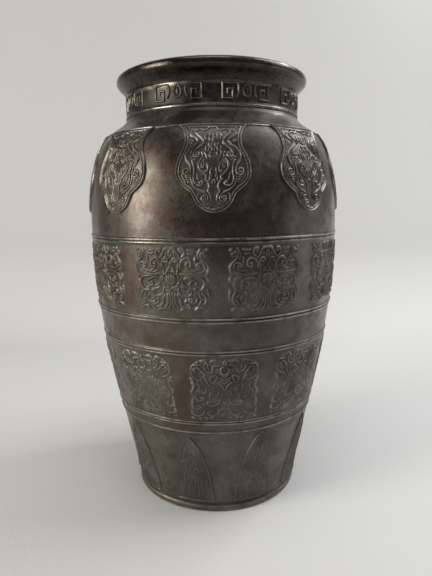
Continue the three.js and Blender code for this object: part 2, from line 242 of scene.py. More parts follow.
# Vessel wall
# The body, shoulder and neck are one hollow casting in bronze, turned in wax before it was cast.
# Its border fillets were turned with it, and the whole is patinated dark brown and waxed.

stem_radius, belly_radius, shoulder_radius = 0.0616, 0.0892, 0.0756
stem_height, belly_height, shoulder_height = 0.008, 0.200, 0.259
wall_thickness, foot_radius = 0.0035, 0.0600
neck_radius, neck_bottom, neck_top = 0.0610, 0.271, 0.2873
mouth_radius, spigot_radius, spigot_top = 0.0575, 0.0594, 0.2903
ledge_radius, rebate_radius, ledge_height = 0.0561, 0.0574, 0.0093

# Heights of the turned borders, and the belts of relief between them
lower_line_height = 0.0649
lower_belt_bottom, lower_belt_top = 0.0715, 0.1228
upper_belt_bottom, upper_belt_top = 0.1440, 0.1926

# Each pair is a share of the rise from the stem to the belly, and of the swell in radius over that rise
lower_body_shares = (
    (0, 0), (0.062, 0.06), (0.164, 0.22), (0.279, 0.388), (0.389, 0.553), (0.504, 0.697),
    (0.608, 0.81), (0.713, 0.911), (0.817, 0.97), (0.911, 0.992), (1, 1),
)
# Each pair is a share of the rise from the belly to the shoulder line, and of the fall in radius over it
shoulder_shares = ((0.288, 0.051), (0.508, 0.184), (0.678, 0.36), (0.814, 0.551), (0.915, 0.75), (1, 1))


def smooth_through(points, steps):
    """A curve through the points, with the given steps between each two."""
    points = np.array(points, float)
    before = np.vstack([points[:1], points[:-1]])
    after = np.vstack([points[1:], points[-1:]])
    slopes = (after - before) / 2
    t = np.linspace(0, 1, steps, endpoint=False)[:, None]
    runs = []
    for i in range(len(points) - 1):
        a, b, p, q = points[i], points[i + 1], slopes[i], slopes[i + 1]
        runs.append((2 * a - 2 * b + p + q) * t**3 + (3 * b - 3 * a - 2 * p - q) * t**2 + p * t + a)
    return np.vstack([*runs, points[-1:]])


def stretched(shares, low, high):
    """Points from shares of the rise and of the change in radius between two points."""
    reach, rise = high[0] - low[0], high[1] - low[1]
    return [(low[0] + out * reach, low[1] + up * rise) for up, out in shares]


def bare_wall():
    stem, belly = (stem_radius, stem_height), (belly_radius, belly_height)
    shoulder = (shoulder_radius, shoulder_height)
    lower, upper = stretched(lower_body_shares, stem, belly), stretched(shoulder_shares, belly, shoulder)
    return smooth_through(lower + upper, steps=12)


wall_curve = bare_wall()


def wall_radius(height):
    return np.interp(height, wall_curve[:, 1], wall_curve[:, 0])


ridge_fullness, ridge_squareness = 1.35, 2.5


def ridge(height, centre, width):
    """A rounded ridge across a profile: 1 over its middle, 0 past its edges."""
    away = np.abs(height - centre) / (width / 2)
    return np.clip(ridge_fullness * (1 - away**ridge_squareness), 0, 1)


mm = 0.001
# The lines turned near each height: their steps up from it, widths and lifts over the wall, in millimetres.
# A lift below 0 is the groove between two lines.
turned_borders = {
    lower_line_height: ((0, 1.3, 0.7),),
    lower_belt_bottom: ((-0.1, 1.3, 0.7), (0.7, 0.6, -0.1), (1.5, 1.2, 0.4)),
    lower_belt_top: ((-0.1, 1.3, 0.7), (-1.1, 0.8, -0.1), (-2.1, 1.2, 0.4)),
    upper_belt_bottom: ((0, 1.4, 0.8), (-1.1, 0.8, -0.15), (-2.2, 1.4, 0.5)),
    upper_belt_top: ((-0.3, 1.4, 0.8), (-1.3, 0.8, -0.15), (-2.3, 1.2, 0.3)),
    shoulder_height: ((-0.3, 0.9, 0.4),),
}
profile_step = 0.00015
plain_share = 6


def outer_wall():
    heights = np.arange(stem_height, shoulder_height, profile_step)
    lifts = [
        lift * mm * ridge(heights, height + step * mm, width * mm)
        for height, lines in turned_borders.items()
        for step, width, lift in lines
    ]
    plain = np.isclose(np.abs(lifts).sum(0), 0)
    kept = ~plain | (np.arange(len(heights)) % plain_share == 0)
    radii = wall_radius(heights) + np.sum(lifts, axis=0)
    return list(zip(radii[kept], heights[kept]))


# Steps out and up in millimetres: the foot's rim and groove, from the foot's own radius, then the sweep from
# the shoulder line, and the neck's fillet from its lower end
foot_steps = (
    (-0.8, 0), (0, 0.1), (1.1, 0.9), (1.4, 1.8), (1.5, 3.8), (1.3, 4.6), (0.8, 5.2), (0.7, 6.2), (1.2, 7.2),
)
sweep_steps = ((-0.3, 0.6), (-2.1, 1.6), (-4.6, 3.2), (-8.8, 6.0), (-12.8, 9.6))
fillet_steps = ((0.6, -0.4), (0.3, 0.3), (0.7, 1.0), (0.7, 1.9), (0.3, 2.6), (0, 3.6))


def stepped(radius, height, steps):
    return [(radius + out * mm, height + up * mm) for out, up in steps]


# The wall leans, so it is a little thicker in radius than square to itself
leaning_thickness = wall_thickness * 1.02
inner_rings = 60
# The neck's bend into the sweep, and how near a sharp corner a point keeps the face beside it flat
neck_bend, corner_reach = 0.004, 0.0003


def inner_wall():
    heights = np.linspace(shoulder_height, ledge_height + wall_thickness, inner_rings)
    return [(wall_radius(height) - leaning_thickness, height) for height in heights]


def wall_profile():
    sweep = stepped(shoulder_radius, shoulder_height, sweep_steps)
    fillet = stepped(neck_radius, neck_bottom, fillet_steps)
    return [
        *stepped(foot_radius, 0, foot_steps),
        *outer_wall(),
        *smooth_through(sweep + fillet, steps=4),
        (neck_radius, neck_top - neck_bend),
        (neck_radius, neck_top - corner_reach),
        (neck_radius, neck_top),
        (spigot_radius, neck_top + 0.0002),
        (spigot_radius, spigot_top),
        (mouth_radius, spigot_top),
        (mouth_radius, spigot_top - corner_reach),
        (mouth_radius, neck_bottom + neck_bend),
        (mouth_radius + 0.0004, neck_bottom),
        (mouth_radius + 0.005, neck_bottom - neck_bend),
        (shoulder_radius - wall_thickness - neck_bend, shoulder_height + neck_bend),
        *inner_wall(),
        (ledge_radius, ledge_height + wall_thickness),
        (ledge_radius, ledge_height),
        (rebate_radius, ledge_height),
        (rebate_radius, 0.0),
    ]


class Group(Tree):
    """A geometry node group with named inputs, which gives out one painted piece."""

    def __init__(self, name, **inputs):
        super().__init__(bpy.data.node_groups.new(name, "GeometryNodeTree"))
        sockets = self.tree.interface
        for socket, kind in inputs.items():
            sockets.new_socket(name=socket, in_out="INPUT", socket_type=f"NodeSocket{kind}")
        sockets.new_socket(name="Piece", in_out="OUTPUT", socket_type="NodeSocketGeometry")
        start = self.tree.nodes.new("NodeGroupInput")
        self.given = {socket: Value(self, start.outputs[socket]) for socket in inputs}

    def painted(self, geometry):
        inputs = {"Geometry": geometry, "Material": self.given["Material"]}
        self.end("NodeGroupOutput", 0, self.node("GeometryNodeSetMaterial", None, inputs))
        return self.tree


def turned_tree():
    """A closed profile of radius and height, turned about the vase's axis."""
    group = Group("turned_piece", Profile="Geometry", Facets="Int", Material="Material")
    node, profile, facets = group.node, group.given["Profile"], group.given["Facets"]
    count = node("GeometryNodeAttributeDomainSize", None, {"Geometry": profile}, "Point Count")
    rings = count + 1.0
    grid = node("GeometryNodeMeshGrid", None, {"Vertices X": facets + 1.0, "Vertices Y": rings}, "Mesh")
    index = node("GeometryNodeInputIndex")
    column = ((index + 0.5) / rings).maths("FLOOR")
    row = index - column * rings
    wrapped = row.maths("ROUND").maths("FLOORED_MODULO", count)
    turn = column / facets * math.tau

    def sampled(data_type, value):
        settings = {"data_type": data_type, "domain": "POINT"}
        inputs = {"Geometry": profile, "Value": value, "Index": wrapped}
        return node("GeometryNodeSampleIndex", settings, inputs)

    radius, _, height = group.axes(sampled("FLOAT_VECTOR", node("GeometryNodeInputPosition")))
    spot = {0: radius * turn.maths("COSINE"), 1: radius * turn.maths("SINE"), 2: height}
    place = node("ShaderNodeCombineXYZ", None, spot)
    laid = node("GeometryNodeSetPosition", None, {"Geometry": grid, "Position": place})
    hollow = node("GeometryNodeInputNamedAttribute", {"data_type": "FLOAT"}, {"Name": "hollow"})
    settings = {"data_type": "FLOAT", "domain": "POINT"}
    inputs = {"Geometry": laid, "Name": "hollow", "Value": sampled("FLOAT", hollow)}
    stored = node("GeometryNodeStoreNamedAttribute", settings, inputs)
    merged = node("GeometryNodeMergeByDistance", None, {"Geometry": stored, "Distance": 1e-6})
    return group.painted(node("GeometryNodeSetShadeSmooth", None, {"Geometry": merged}))


def plain_mesh(piece, tree, values, name):
    """Runs a tree on an object and keeps its result as that object's plain mesh."""
    modifier = piece.modifiers.new(tree.name, "NODES")
    modifier.node_group = tree
    for item in tree.interface.items_tree:
        if item.in_out == "INPUT" and item.name in values:
            modifier[item.identifier] = values[item.name]
    evaluated = piece.evaluated_get(bpy.context.evaluated_depsgraph_get())
    mesh = bpy.data.meshes.new_from_object(evaluated)
    piece.modifiers.remove(modifier)
    mesh.name = name
    piece.data = mesh


chord_reach = 0.0008


def hollows_of(profile):
    """How deep each point of a closed profile lies under a chord that reaches equally far to both sides.

    The depth is in millimetres, and below 0 on a ridge."""
    points = np.array(profile)
    loop = np.vstack([points, points[:1]])
    run = np.append(0, np.cumsum(np.hypot(*np.diff(loop, axis=0).T)))

    def place(shift):
        along = (run[:-1] + shift) % run[-1]
        return np.stack([np.interp(along, run, loop[:, 0]), np.interp(along, run, loop[:, 1])], 1)

    chord = place(chord_reach) - place(-chord_reach)
    arm = points - place(-chord_reach)
    cross = chord[:, 0] * arm[:, 1] - chord[:, 1] * arm[:, 0]
    return cross / np.maximum(np.hypot(*chord.T), 1e-6) / mm


def store_hollows(mesh, depths):
    attribute = mesh.attributes.new("hollow", "FLOAT", "POINT")
    attribute.data.foreach_set("value", depths.astype(np.float32))


turned_pieces = turned_tree()
wall_facets = 288


def turned_piece(name, profile, material, node):
    mesh = bpy.data.meshes.new(name)
    points = [(float(radius), 0.0, float(height)) for radius, height in profile]
    mesh.from_pydata(points, [(i, (i + 1) % len(points)) for i in range(len(points))], [])
    store_hollows(mesh, hollows_of(profile))
    piece = bpy.data.objects.new(name, mesh)
    bpy.context.scene.collection.objects.link(piece)
    plain_mesh(piece, turned_pieces, {"Facets": wall_facets, "Material": material}, name)
    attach(piece, "root")
    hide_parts(node)


# Dirt and verdigris lie in the hollows, grime and painted shade darken the neck and under the lip, and
# rubbed edges show bare metal
dirt_tone, verdigris_tone = (0.016, 0.013, 0.012, 1), (0.120, 0.142, 0.122, 1)
grime_and_painted_shade_tone, rubbed_tone = (0.012, 0.010, 0.009, 1), (0.24, 0.215, 0.19, 1)
# The inside of the mouth is painted darker, as painted shade
inside_painted_shade_tone, inside_roughness = (0.024, 0.018, 0.016, 1), 0.5
# The spans of radius or height over which the inside begins, the grime and painted shade begin and end,
# and the wax ends and the painted reflection of the floor begins
mouth_radii = (0.0592, 0.0582)
grime_and_shade_bottom, grime_and_shade_top, wax_end_and_painted_reflection_span = (0.262, 0.274), (0.2965, 0.2925), (0.27, 0.16)
# Heights of the unevenness that a hand feels, of pits and stains, and of the lines that wiping left
swell_height, pit_height, stain_height, wiped_height = 0.0003, 0.00005, 0.00002, 0.00004
wiped_stretch = (1.0, 1.0, 16.0)


def bronze(name, tones, gloss, wear, green, wax=0.4, grime_and_shade=0.72):
    """Cast bronze under a dark patina and wax, with dirt and verdigris in its hollows and rubbed edges.

    Low on the vase the wax is gone and the patina is duller, and its colour is painted greyer and
    lighter as painted reflection of the pale floor. Grime and painted shade darken the neck and under the
    lip. The inside of the mouth is dull and painted darker, as painted shade."""
    brown, red, grey = tones
    finish = Finish(name)
    hollow = finish.node("ShaderNodeAttribute", {"attribute_name": "hollow"}, output="Fac")
    x, y, height = finish.axes(finish.place)
    inside = (x * x + y * y).between(*[radius**2 for radius in mouth_radii])
    broad = finish.noise(14.0, 3.0, 0.6)
    # The lower part is duller, and its colour is painted greyer and lighter, as painted reflection of the
    # floor
    low = (height + broad * 0.12).between(*wax_end_and_painted_reflection_span)
    cloud = finish.noise(45.0, 4.0, 0.65, 0.4).between(0.35, 0.70)
    fleck = finish.noise(700.0, 4.0, 0.7).between(0.42, 0.75)
    mottle = finish.noise(230.0, 5.0, 0.8).between(0.40, 0.66)
    colour = finish.mix((broad.between(0.40, 0.64) * 0.5 + low * 0.5).clamped(), brown, grey)
    colour = finish.mix(cloud * 0.45, colour, red)
    colour = finish.mix((fleck * 0.25 + mottle * 0.2).clamped(), colour, grey)
    dirt = hollow.between(0.04, 0.30)
    colour = finish.mix(dirt * 0.55, colour, dirt_tone)
    patch = finish.noise(26.0, 3.0, 0.6, 0.6).between(0.38, 0.60)
    verdigris = hollow.between(-0.16, 0.10) * patch * finish.noise(260.0, 4.0, 0.75).between(0.26, 0.62)
    colour = finish.mix((verdigris * green).clamped(), colour, verdigris_tone)
    # Painted shade, with grime: a darker colour and less coat on the neck and under the lip
    shade = height.between(*grime_and_shade_bottom) * height.between(*grime_and_shade_top)
    colour = finish.mix(shade * grime_and_shade, colour, grime_and_painted_shade_tone)
    # The inside of the mouth is painted darker, as painted shade
    colour = finish.mix(inside * 0.9, colour, inside_painted_shade_tone)
    edge = (hollow.between(-0.04, -0.22) * finish.noise(120.0).between(0.25, 0.60)).clamped()
    colour = finish.mix(edge * wear, colour, rubbed_tone)
    rough = gloss + low * 0.16 + broad * 0.06 + fleck * 0.10 + mottle * 0.14 + dirt * 0.12
    rough = rough + verdigris * 0.20
    rough = (rough - edge * 0.06) * (1 - inside) + inside * inside_roughness
    waxed = finish.noise(75.0, 4.0, 0.7).between(0.40, 0.62)
    swell = finish.noise(22.0, 2.0) * swell_height
    pits = finish.noise(900.0, 3.0, 0.6) * pit_height + mottle * stain_height
    lying = finish.node("ShaderNodeMapping", None, {"Vector": finish.place, "Scale": wiped_stretch})
    wiped = finish.noise(60.0, 3.0, 0.6, place=lying) * wiped_height
    return finish.surface(
        Base_Color=colour,
        Metallic=(1 - verdigris * 0.7 * (1 - inside) - low * 0.25).clamped(),
        Roughness=rough,
        Normal=finish.bumped(swell + pits + wiped),
        Coat_Weight=(waxed * wax * 1.2 + wax * 0.4) * (1 - shade * 0.75) * (1 - inside),
        Coat_Roughness=0.25,
    )


# Each bronze has a brown, a red and a grey tone
wall_tones = ((0.045, 0.031, 0.026, 1), (0.066, 0.031, 0.026, 1), (0.078, 0.061, 0.051, 1))
wall_bronze = bronze("wall_bronze", wall_tones, gloss=0.24, wear=0.9, green=0.25)
turned_piece("vessel_wall_cast", wall_profile(), wall_bronze, "vessel_wall")

# Lip
# A heavy roll of wax set over the neck's edge and cast with it. Hands have kept it smoother than the rest.

lip_radius, lip_top = 0.0674, 0.300
# Each pair is a share of the rise from the neck's top, and of the reach from the mouth to the lip's edge
lip_section_shares = (
    (-0.06, 0.36), (0.10, 0.44), (0.28, 0.62), (0.45, 0.84), (0.60, 0.985), (0.74, 1.0), (0.86, 0.95),
    (0.955, 0.80), (0.997, 0.58), (0.985, 0.34), (0.92, 0.13), (0.80, 0.02), (0.60, 0.0), (0.22, 0.0),
)


def lip_profile():
    roll = stretched(lip_section_shares, (mouth_radius, neck_top), (lip_radius, lip_top))
    return [*smooth_through(roll, steps=6), (spigot_radius - 0.0004, neck_top - 0.0008)]


lip_tones = ((0.034, 0.025, 0.022, 1), (0.036, 0.021, 0.018, 1), (0.030, 0.026, 0.024, 1))
# The lip's underside is darkened by grime and painted shade
lip_bronze = bronze("lip_bronze", lip_tones, gloss=0.11, wear=0.2, green=0.0, wax=0.35, grime_and_shade=0.7)
turned_piece("lip_roll", lip_profile(), lip_bronze, "lip_ring")

# Lappets
# Nine hanging lappets on the shoulder, each pressed in a carved mould, laid on the wax wall and cast with
# it. Inside a double rim lies a mirrored spray of scrolls round a plain diamond.

# An ornament's edge lies this deep in the wall
sunk = 0.0006
grid_share = 1.0
# A line thins to a share of its width in the first and last sixth of its length
tip_share, tips_in_line = 0.62, 6
# Where the side of a line and of a rim lies, from its top to its foot, in widths from its nominal edge
line_side, rim_side = (-0.30, 0.22), (-0.30, 0.25)
dome_fullness = 1.15
ground_edge, ragged_share = 0.0006, 0.45
hollow_reach = 0.0011


def climb(value, low, high):
    """0 below low, 1 above high, and a smooth climb between them."""
    share = np.clip((value - low) / (high - low), 0, 1)
    return share * share * (3 - 2 * share)


def scroll(end, heading, radius, turns):
    """A spiral that leaves a stem's end and closes in on its own centre, to the left for turns above 0."""
    side = math.copysign(1, turns)
    centre = end + radius * side * np.array([-heading[1], heading[0]])
    turn = np.linspace(0, abs(turns) * math.tau, max(4, int(abs(turns) * 26)))[1:]
    shrink = 1 - 0.72 * turn / turn[-1] * min(1, abs(turns))
    arm = end - centre
    x = arm[0] * np.cos(turn) - side * arm[1] * np.sin(turn)
    y = side * arm[0] * np.sin(turn) + arm[1] * np.cos(turn)
    return centre + np.stack([x, y], 1) * shrink[:, None]


class Relief:
    """The raised drawing of one ornament, kept as heights over the wall on a fine grid of its right half.

    A share across is of the half width, and a share up is of the reach from the start height."""

    def __init__(self, half_width, start, reach, shares_up, step):
        self.half_width, self.start, self.reach = half_width, start, reach
        self.step = step * grid_share
        low, high = sorted(start + share * reach for share in shares_up)
        edge = half_width + 3 * self.step
        self.across = np.linspace(0, edge, math.ceil(edge / self.step) + 1)
        self.up = np.linspace(low, high, math.ceil((high - low) / self.step) + 1)
        self.x, self.z = np.meshgrid(self.across, self.up)
        self.raised = np.zeros(self.x.shape)
        self.ground = np.full(self.x.shape, -sunk)
        self.gap = np.full(self.x.shape, 1.0)

    def spot(self, shares):
        shares = np.array(shares, float)
        return np.stack([shares[..., 0] * self.half_width, self.start + shares[..., 1] * self.reach], -1)

    def vine(self, points, turns=0.0, radius_share=0.0):
        """A smooth stem through points given in shares, which may end in a scroll."""
        stem = smooth_through(self.spot(points), steps=7)
        if not turns:
            return stem
        heading = stem[-1] - stem[-2]
        heading /= np.linalg.norm(heading)
        return np.vstack([stem, scroll(stem[-1], heading, radius_share * self.half_width, turns)])

    def away(self, path, reach):
        """The part of the grid near a path, with the distance to it there and the share along it."""
        low, high = path.min(0) - reach, path.max(0) + reach
        rows = slice(*np.searchsorted(self.up, (low[1], high[1])))
        columns = slice(*np.searchsorted(self.across, (low[0], high[0])))
        spots = np.stack([self.x[rows, columns], self.z[rows, columns]], -1)[..., None, :]
        run = np.diff(path, axis=0)
        arm = spots - path[:-1]
        along = np.clip((arm * run).sum(-1) / np.maximum((run**2).sum(-1), 1e-14), 0, 1)
        gaps = np.linalg.norm(arm - along[..., None] * run, axis=-1)
        nearest = gaps.argmin(-1)[..., None]
        distance = np.take_along_axis(gaps, nearest, -1)[..., 0]
        share = (nearest[..., 0] + np.take_along_axis(along, nearest, -1)[..., 0]) / len(run)
        return (rows, columns), distance, share

    def line(self, path, width, lift):
        """Raises a rounded line that thins towards its ends."""
        window, distance, share = self.away(path, 3.2 * width)
        if not distance.size:
            return
        tips = np.clip(np.minimum(share, 1 - share) * tips_in_line, 0, 1)
        taper = tip_share + (1 - tip_share) * tips
        edge = distance - width / 2 * taper
        raised = lift * np.sqrt(taper) * (1 - climb(edge / width, *line_side))
        self.raised[window] = np.maximum(self.raised[window], raised)
        self.gap[window] = np.minimum(self.gap[window], edge)

    def dome(self, place, width, height, lift):
        """Raises a rounded boss of an oval plan."""
        centre = self.spot(place)
        away = np.hypot((self.x - centre[0]) / (width / 2), (self.z - centre[1]) / (height / 2))
        crown = np.sqrt(np.clip(1 - away**2, 0, 1))
        self.raised = np.maximum(self.raised, lift * np.minimum(crown * dome_fullness, 1))
        self.gap = np.minimum(self.gap, (away - 1) * min(width, height) / 2)

    def inside(self, outline):
        """How far each place lies inside a closed outline, and below 0 outside it."""
        _, distance, _ = self.away(np.vstack([outline, outline[:1]]), 1.0)
        within = np.zeros(self.x.shape, bool)
        for (x0, z0), (x1, z1) in zip(outline, np.roll(outline, -1, 0)):
            if z0 != z1:
                crosses = (z0 > self.z) != (z1 > self.z)
                within ^= crosses & (self.x < x0 + (self.z - z0) / (z1 - z0) * (x1 - x0))
        return np.where(within, distance, -distance)

    def lay_ground(self, inside, lift):
        """Lifts the ground between the lines, down to under the wall's surface at the edge."""
        self.ground = -sunk + (sunk + lift) * climb(inside, -ground_edge / 2, ground_edge)

    def lay_ragged_ground(self, lift, reach):
        """Lifts the ground that lies within reach of the lines, and no other."""
        self.ground = -sunk + (sunk + lift) * (1 - climb(self.gap, reach * ragged_share, reach))

    def rim(self, inside, middle, width, lift):
        """Raises a line that follows the outline at a distance inside it."""
        edge = np.abs(inside - middle) - width / 2
        self.raised = np.maximum(self.raised, lift * (1 - climb(edge / width, *rim_side)))

    def height(self):
        half = self.ground + self.raised * (self.ground > -sunk)
        return np.hstack([half[:, :0:-1], half])

    def laid(self, name, ground_radius):
        """The closed mesh of the relief on the front of the vase. Its back is sunk in the wall."""
        height = self.height()
        soft = blurred(height, round(hollow_reach / self.step))
        across = np.concatenate([-self.across[:0:-1], self.across])
        x, z = np.meshgrid(across, self.up)
        radius = ground_radius(z)
        turn = x / radius
        out = radius + height
        points = np.stack([out * np.sin(turn), -out * np.cos(turn), z], -1).reshape(-1, 3)
        shown = height > -sunk + 1e-6
        cells = shown[:-1, :-1] | shown[1:, :-1] | shown[:-1, 1:] | shown[1:, 1:]
        cells = spanned(cells) & spanned(cells.T).T
        rows, columns = np.nonzero(cells)
        count = x.shape[1]
        first = rows * count + columns
        quads = np.stack([first, first + 1, first + 1 + count, first + count], 1)
        edges = np.concatenate([quads[:, [i, (i + 1) % 4]] for i in range(4)])
        both = set(map(tuple, edges))
        rim = np.array([edge for edge in edges if (edge[1], edge[0]) not in both])
        used = np.unique(quads)
        number = np.full(len(points), -1)
        number[used] = np.arange(len(used))
        middle = points[used].mean(0)
        middle_radius = ground_radius(middle[2]) - 3 * sunk
        apex = [0.0, -middle_radius, middle[2]]
        fan = [(b, a, len(used)) for a, b in number[rim]]
        piece = mesh_object(name, [*points[used], apex], [*number[quads].tolist(), *fan])
        hollow = np.append(((soft - height) / mm).reshape(-1)[used], 0.0)
        store_hollows(piece.data, hollow)
        return piece


def spanned(cells):
    """Fills each row of cells from its first to its last."""
    forward = np.maximum.accumulate(cells, axis=1)
    backward = np.maximum.accumulate(cells[:, ::-1], axis=1)[:, ::-1]
    return forward & backward


def blurred(height, reach):
    """The heights averaged over a square, twice. The square reaches that many steps to each side."""
    for _ in range(2):
        for axis in (0, 1):
            padded = np.pad(height, [(reach + 1, reach) if i == axis else (0, 0) for i in (0, 1)], "edge")
            total = np.cumsum(padded, axis)
            size = height.shape[axis]
            after = np.take(total, range(2 * reach + 1, 2 * reach + 1 + size), axis)
            before = np.take(total, range(size), axis)
            height = (after - before) / (2 * reach + 1)
    return height


ornament_count, front_turn = 9, 0.5
# Where each row starts, and how much closer it stands behind than in front, in degrees
row_turns = {
    "lappet": (front_turn, 3.4),
    "upper_panel": (22.3, -3.2),
    "lower_panel": (4.3, -0.3),
    "blade": (25.0, -3.2),
    "fret": (20.5, 1.5),
}
# Each copy sits up to this much higher or lower than its row
row_unevenness, unevenness_seed = 0.00025, 5


def row_tree():
    """Copies of one ornament round the vase, spaced a little wider in front than behind."""
    floats = dict.fromkeys(("Start", "Crowding", "Front", "Unevenness"), "Float")
    group = Group("ornament_row", Ornament="Geometry", Count="Int", Material="Material", **floats)
    node, given = group.node, group.given
    points = node("GeometryNodePoints", None, {"Count": given["Count"]})
    even = node("GeometryNodeInputIndex") * 360.0 / given["Count"] + given["Start"]
    swing = (even - given["Front"]).maths("RADIANS").maths("SINE")
    turn = (even + given["Crowding"] * swing).maths("RADIANS")
    ends = {2: given["Unevenness"] * -1.0, 3: given["Unevenness"], "Seed": unevenness_seed}
    lift = node("FunctionNodeRandomValue", {"data_type": "FLOAT"}, ends, 1)
    place = node("ShaderNodeCombineXYZ", None, {2: lift})
    moved = node("GeometryNodeSetPosition", None, {"Geometry": points, "Position": place})
    rotation = node("ShaderNodeCombineXYZ", None, {2: turn})
    inputs = {"Points": moved, "Instance": given["Ornament"], "Rotation": rotation}
    copies = node("GeometryNodeInstanceOnPoints", None, inputs)
    return group.painted(node("GeometryNodeRealizeInstances", None, {"Geometry": copies}))


ornament_rows = row_tree()


def ornament_row(relief, kind, material, ground_radius=wall_radius):
    piece = relief.laid(f"{kind}s", ground_radius)
    values = dict(zip(("Start", "Crowding"), row_turns[kind]))
    values |= {"Count": ornament_count, "Front": front_turn, "Unevenness": row_unevenness}
    plain_mesh(piece, ornament_rows, values | {"Material": material}, piece.name)
    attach(piece, "root")
    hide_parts(*[f"{kind}_{i + 1}" for i in range(ornament_count)])


relief_tones = ((0.048, 0.034, 0.030, 1), (0.066, 0.037, 0.032, 1), (0.074, 0.065, 0.057, 1))


def relief_bronze(name, green, wear=0.5, gloss=0.34):
    return bronze(name, relief_tones, gloss, wear, green)


lappet_top = shoulder_height + 0.0002
lappet_half_width, lappet_length = 0.0223, 0.0520
lappet_ground, lappet_relief = 0.0007, 0.0015
lappet_line, lappet_fine_line, lappet_bead_width = 0.00085, 0.0006, 0.0012
fine_step = 0.00034
# Each rim is its distance inside the outline, its width and its share of the full lift
lappet_rims = ((0.0006, 0.0007, 1.0), (0.0022, 0.0006, 0.9))
lappet_beads = ((0.415, 0.362), (0.26, 0.845), (0.70, 0.548), (0.31, 0.66))
diamond_edge, lappet_field_edge = (0.0002, 0.0007), (0.0022, 0.0028)
lappet_diamond_shares = ((0.0, 0.405), (0.14, 0.447), (0.0, 0.49))
# The points of outlines, strokes and scrolls are in hundredths of the half width across and of the height or
# the length up or down. The outline's right half is the flared side and the lobe.
lappet_side_points = (
    (95.5, 0), (83, 5.5), (76.5, 12), (74.5, 18), (76.5, 24.5), (82.5, 31), (90.5, 38), (96.5, 44.5),
    (99.5, 52), (97.5, 60), (91, 66), (83, 70), (72, 74), (60, 78),
)
lappet_lobe_points = ((60, 78), (54.5, 83), (45, 90), (33, 95), (17, 98.8), (0, 100))
# A stroke is its points. A scroll is its stem's points, its turns, and its radius in half widths.
lappet_strokes = (
    ((0, 5.8), (7, 4.5), (13, 6.8), (21, 8.5), (31, 7.2), (42, 9.5)),
    ((31, 40.5), (37.5, 46), (36, 51), (28, 55), (20, 58.5), (17, 62.5)),
    ((22, 62), (14, 66.5), (11.5, 71.5), (15, 75.5), (9, 80.5), (7.5, 86)),
)
lappet_scrolls = (
    (((44, 11), (36, 15), (26.5, 19), (25.5, 23), (33, 26.3), (44, 29.7), (49, 34)), -1.2, 0.085),
    (((60, 11.5), (55, 15), (42, 18), (39.5, 21.5), (46, 25), (60, 29.5), (71, 35.5), (68.5, 42),
      (59.5, 47.5), (57.5, 53.5)), 1.35, 0.115),
    (((55, 41.5), (50.5, 48), (49, 55), (51.5, 61), (49, 66), (41, 69.5), (32, 69.3)), -0.75, 0.06),
    (((57.5, 57), (57.5, 63), (50, 70), (37, 74.5), (24, 77), (16.5, 80.5)), 1.3, 0.105),
)
lappet_fine_strokes = (
    ((30, 2.4), (40, 2), (52, 2.6)),
    ((61, 0), (64, 3), (60, 5.5), (64.5, 8)),
    ((48, 8.5), (55, 10)),
    ((52, 20), (54, 23.5)),
    ((58, 19.5), (60, 23)),
    ((64, 19.5), (66.5, 24)),
    ((18, 11.5), (20.5, 15.5), (17, 20)),
    ((9, 12.5), (10.5, 17), (7, 21.5)),
    ((0, 13), (2, 18), (0, 22)),
    ((3, 23.5), (5, 27.5), (2, 32)),
    ((12, 23.5), (10, 28.5), (13, 32.5)),
    ((19, 27), (18.5, 31.5), (20.5, 34.5), (14, 41)),
    ((8, 33.5), (9.5, 37), (5, 39.5)),
    ((30, 33), (26, 36), (29, 38.5)),
    ((42, 24.5), (50, 28.5), (56, 33.5)),
    ((46, 39), (52, 37.8), (57, 39.5)),
    ((44, 41.5), (50, 40.5)),
    ((24.5, 42), (30.5, 45.5), (29, 50), (24.5, 49), (24.5, 44)),
    ((17, 45.5), (14, 51), (17.5, 55), (21.5, 53)),
    ((6, 51), (8, 56), (4.5, 60.5)),
    ((2, 63), (4, 67)),
    ((11, 58.5), (9.5, 62.5), (12, 65)),
    ((42, 56), (40, 61), (37, 63.5)),
    ((61, 60.5), (71.5, 60)),
    ((60.5, 63), (70, 62.7)),
    ((60, 65.5), (67, 65.2)),
    ((82, 57), (76.5, 62.5), (70, 67)),
    ((13, 88.5), (19, 90), (27, 89)),
    ((10, 93), (17, 94.5)),
    ((36, 78), (42, 80), (40, 84)),
)


def draw(relief, width, lift, strokes, scrolls=()):
    for points, *end in [*[(points,) for points in strokes], *scrolls]:
        relief.line(relief.vine(np.divide(points, 100), *end), width, lift)


def add_beads(relief, places, width, lift):
    for place in places:
        relief.dome(place, width, width, lift)


def outline_of(relief, *runs):
    """The closed outline of an ornament from the smooth runs of its right half, which meet in corners."""
    half = np.vstack([smooth_through(relief.spot(np.divide(run, 100)), steps=6) for run in runs])
    return np.vstack([half, half[::-1] * (-1, 1)])


def make_lappets():
    relief = Relief(lappet_half_width, lappet_top, -lappet_length, (1.03, 0.0), fine_step)
    inside = relief.inside(outline_of(relief, lappet_side_points, lappet_lobe_points))
    relief.lay_ground(inside, lappet_ground)
    full = lappet_relief - lappet_ground
    draw(relief, lappet_line, full, lappet_strokes, lappet_scrolls)
    draw(relief, lappet_fine_line, full * 0.75, lappet_fine_strokes)
    add_beads(relief, lappet_beads, lappet_bead_width, full)
    diamond = relief.spot(lappet_diamond_shares)
    lozenge = relief.inside(np.vstack([diamond, diamond[1:2] * (-1, 1)]))
    relief.raised *= climb(-lozenge, *diamond_edge) * climb(inside, *lappet_field_edge)
    for middle, width, share in lappet_rims:
        relief.rim(inside, middle, width, full * share)
    ornament_row(relief, "lappet", relief_bronze("lappet_bronze", green=0.25, wear=0.8))


make_lappets()

# Upper belt panels
# Nine square sprays of scrolls round a flower boss, pressed in a mould and laid on the upper belt.
# They have no frame: their ragged edge is the outline of the scrolls.

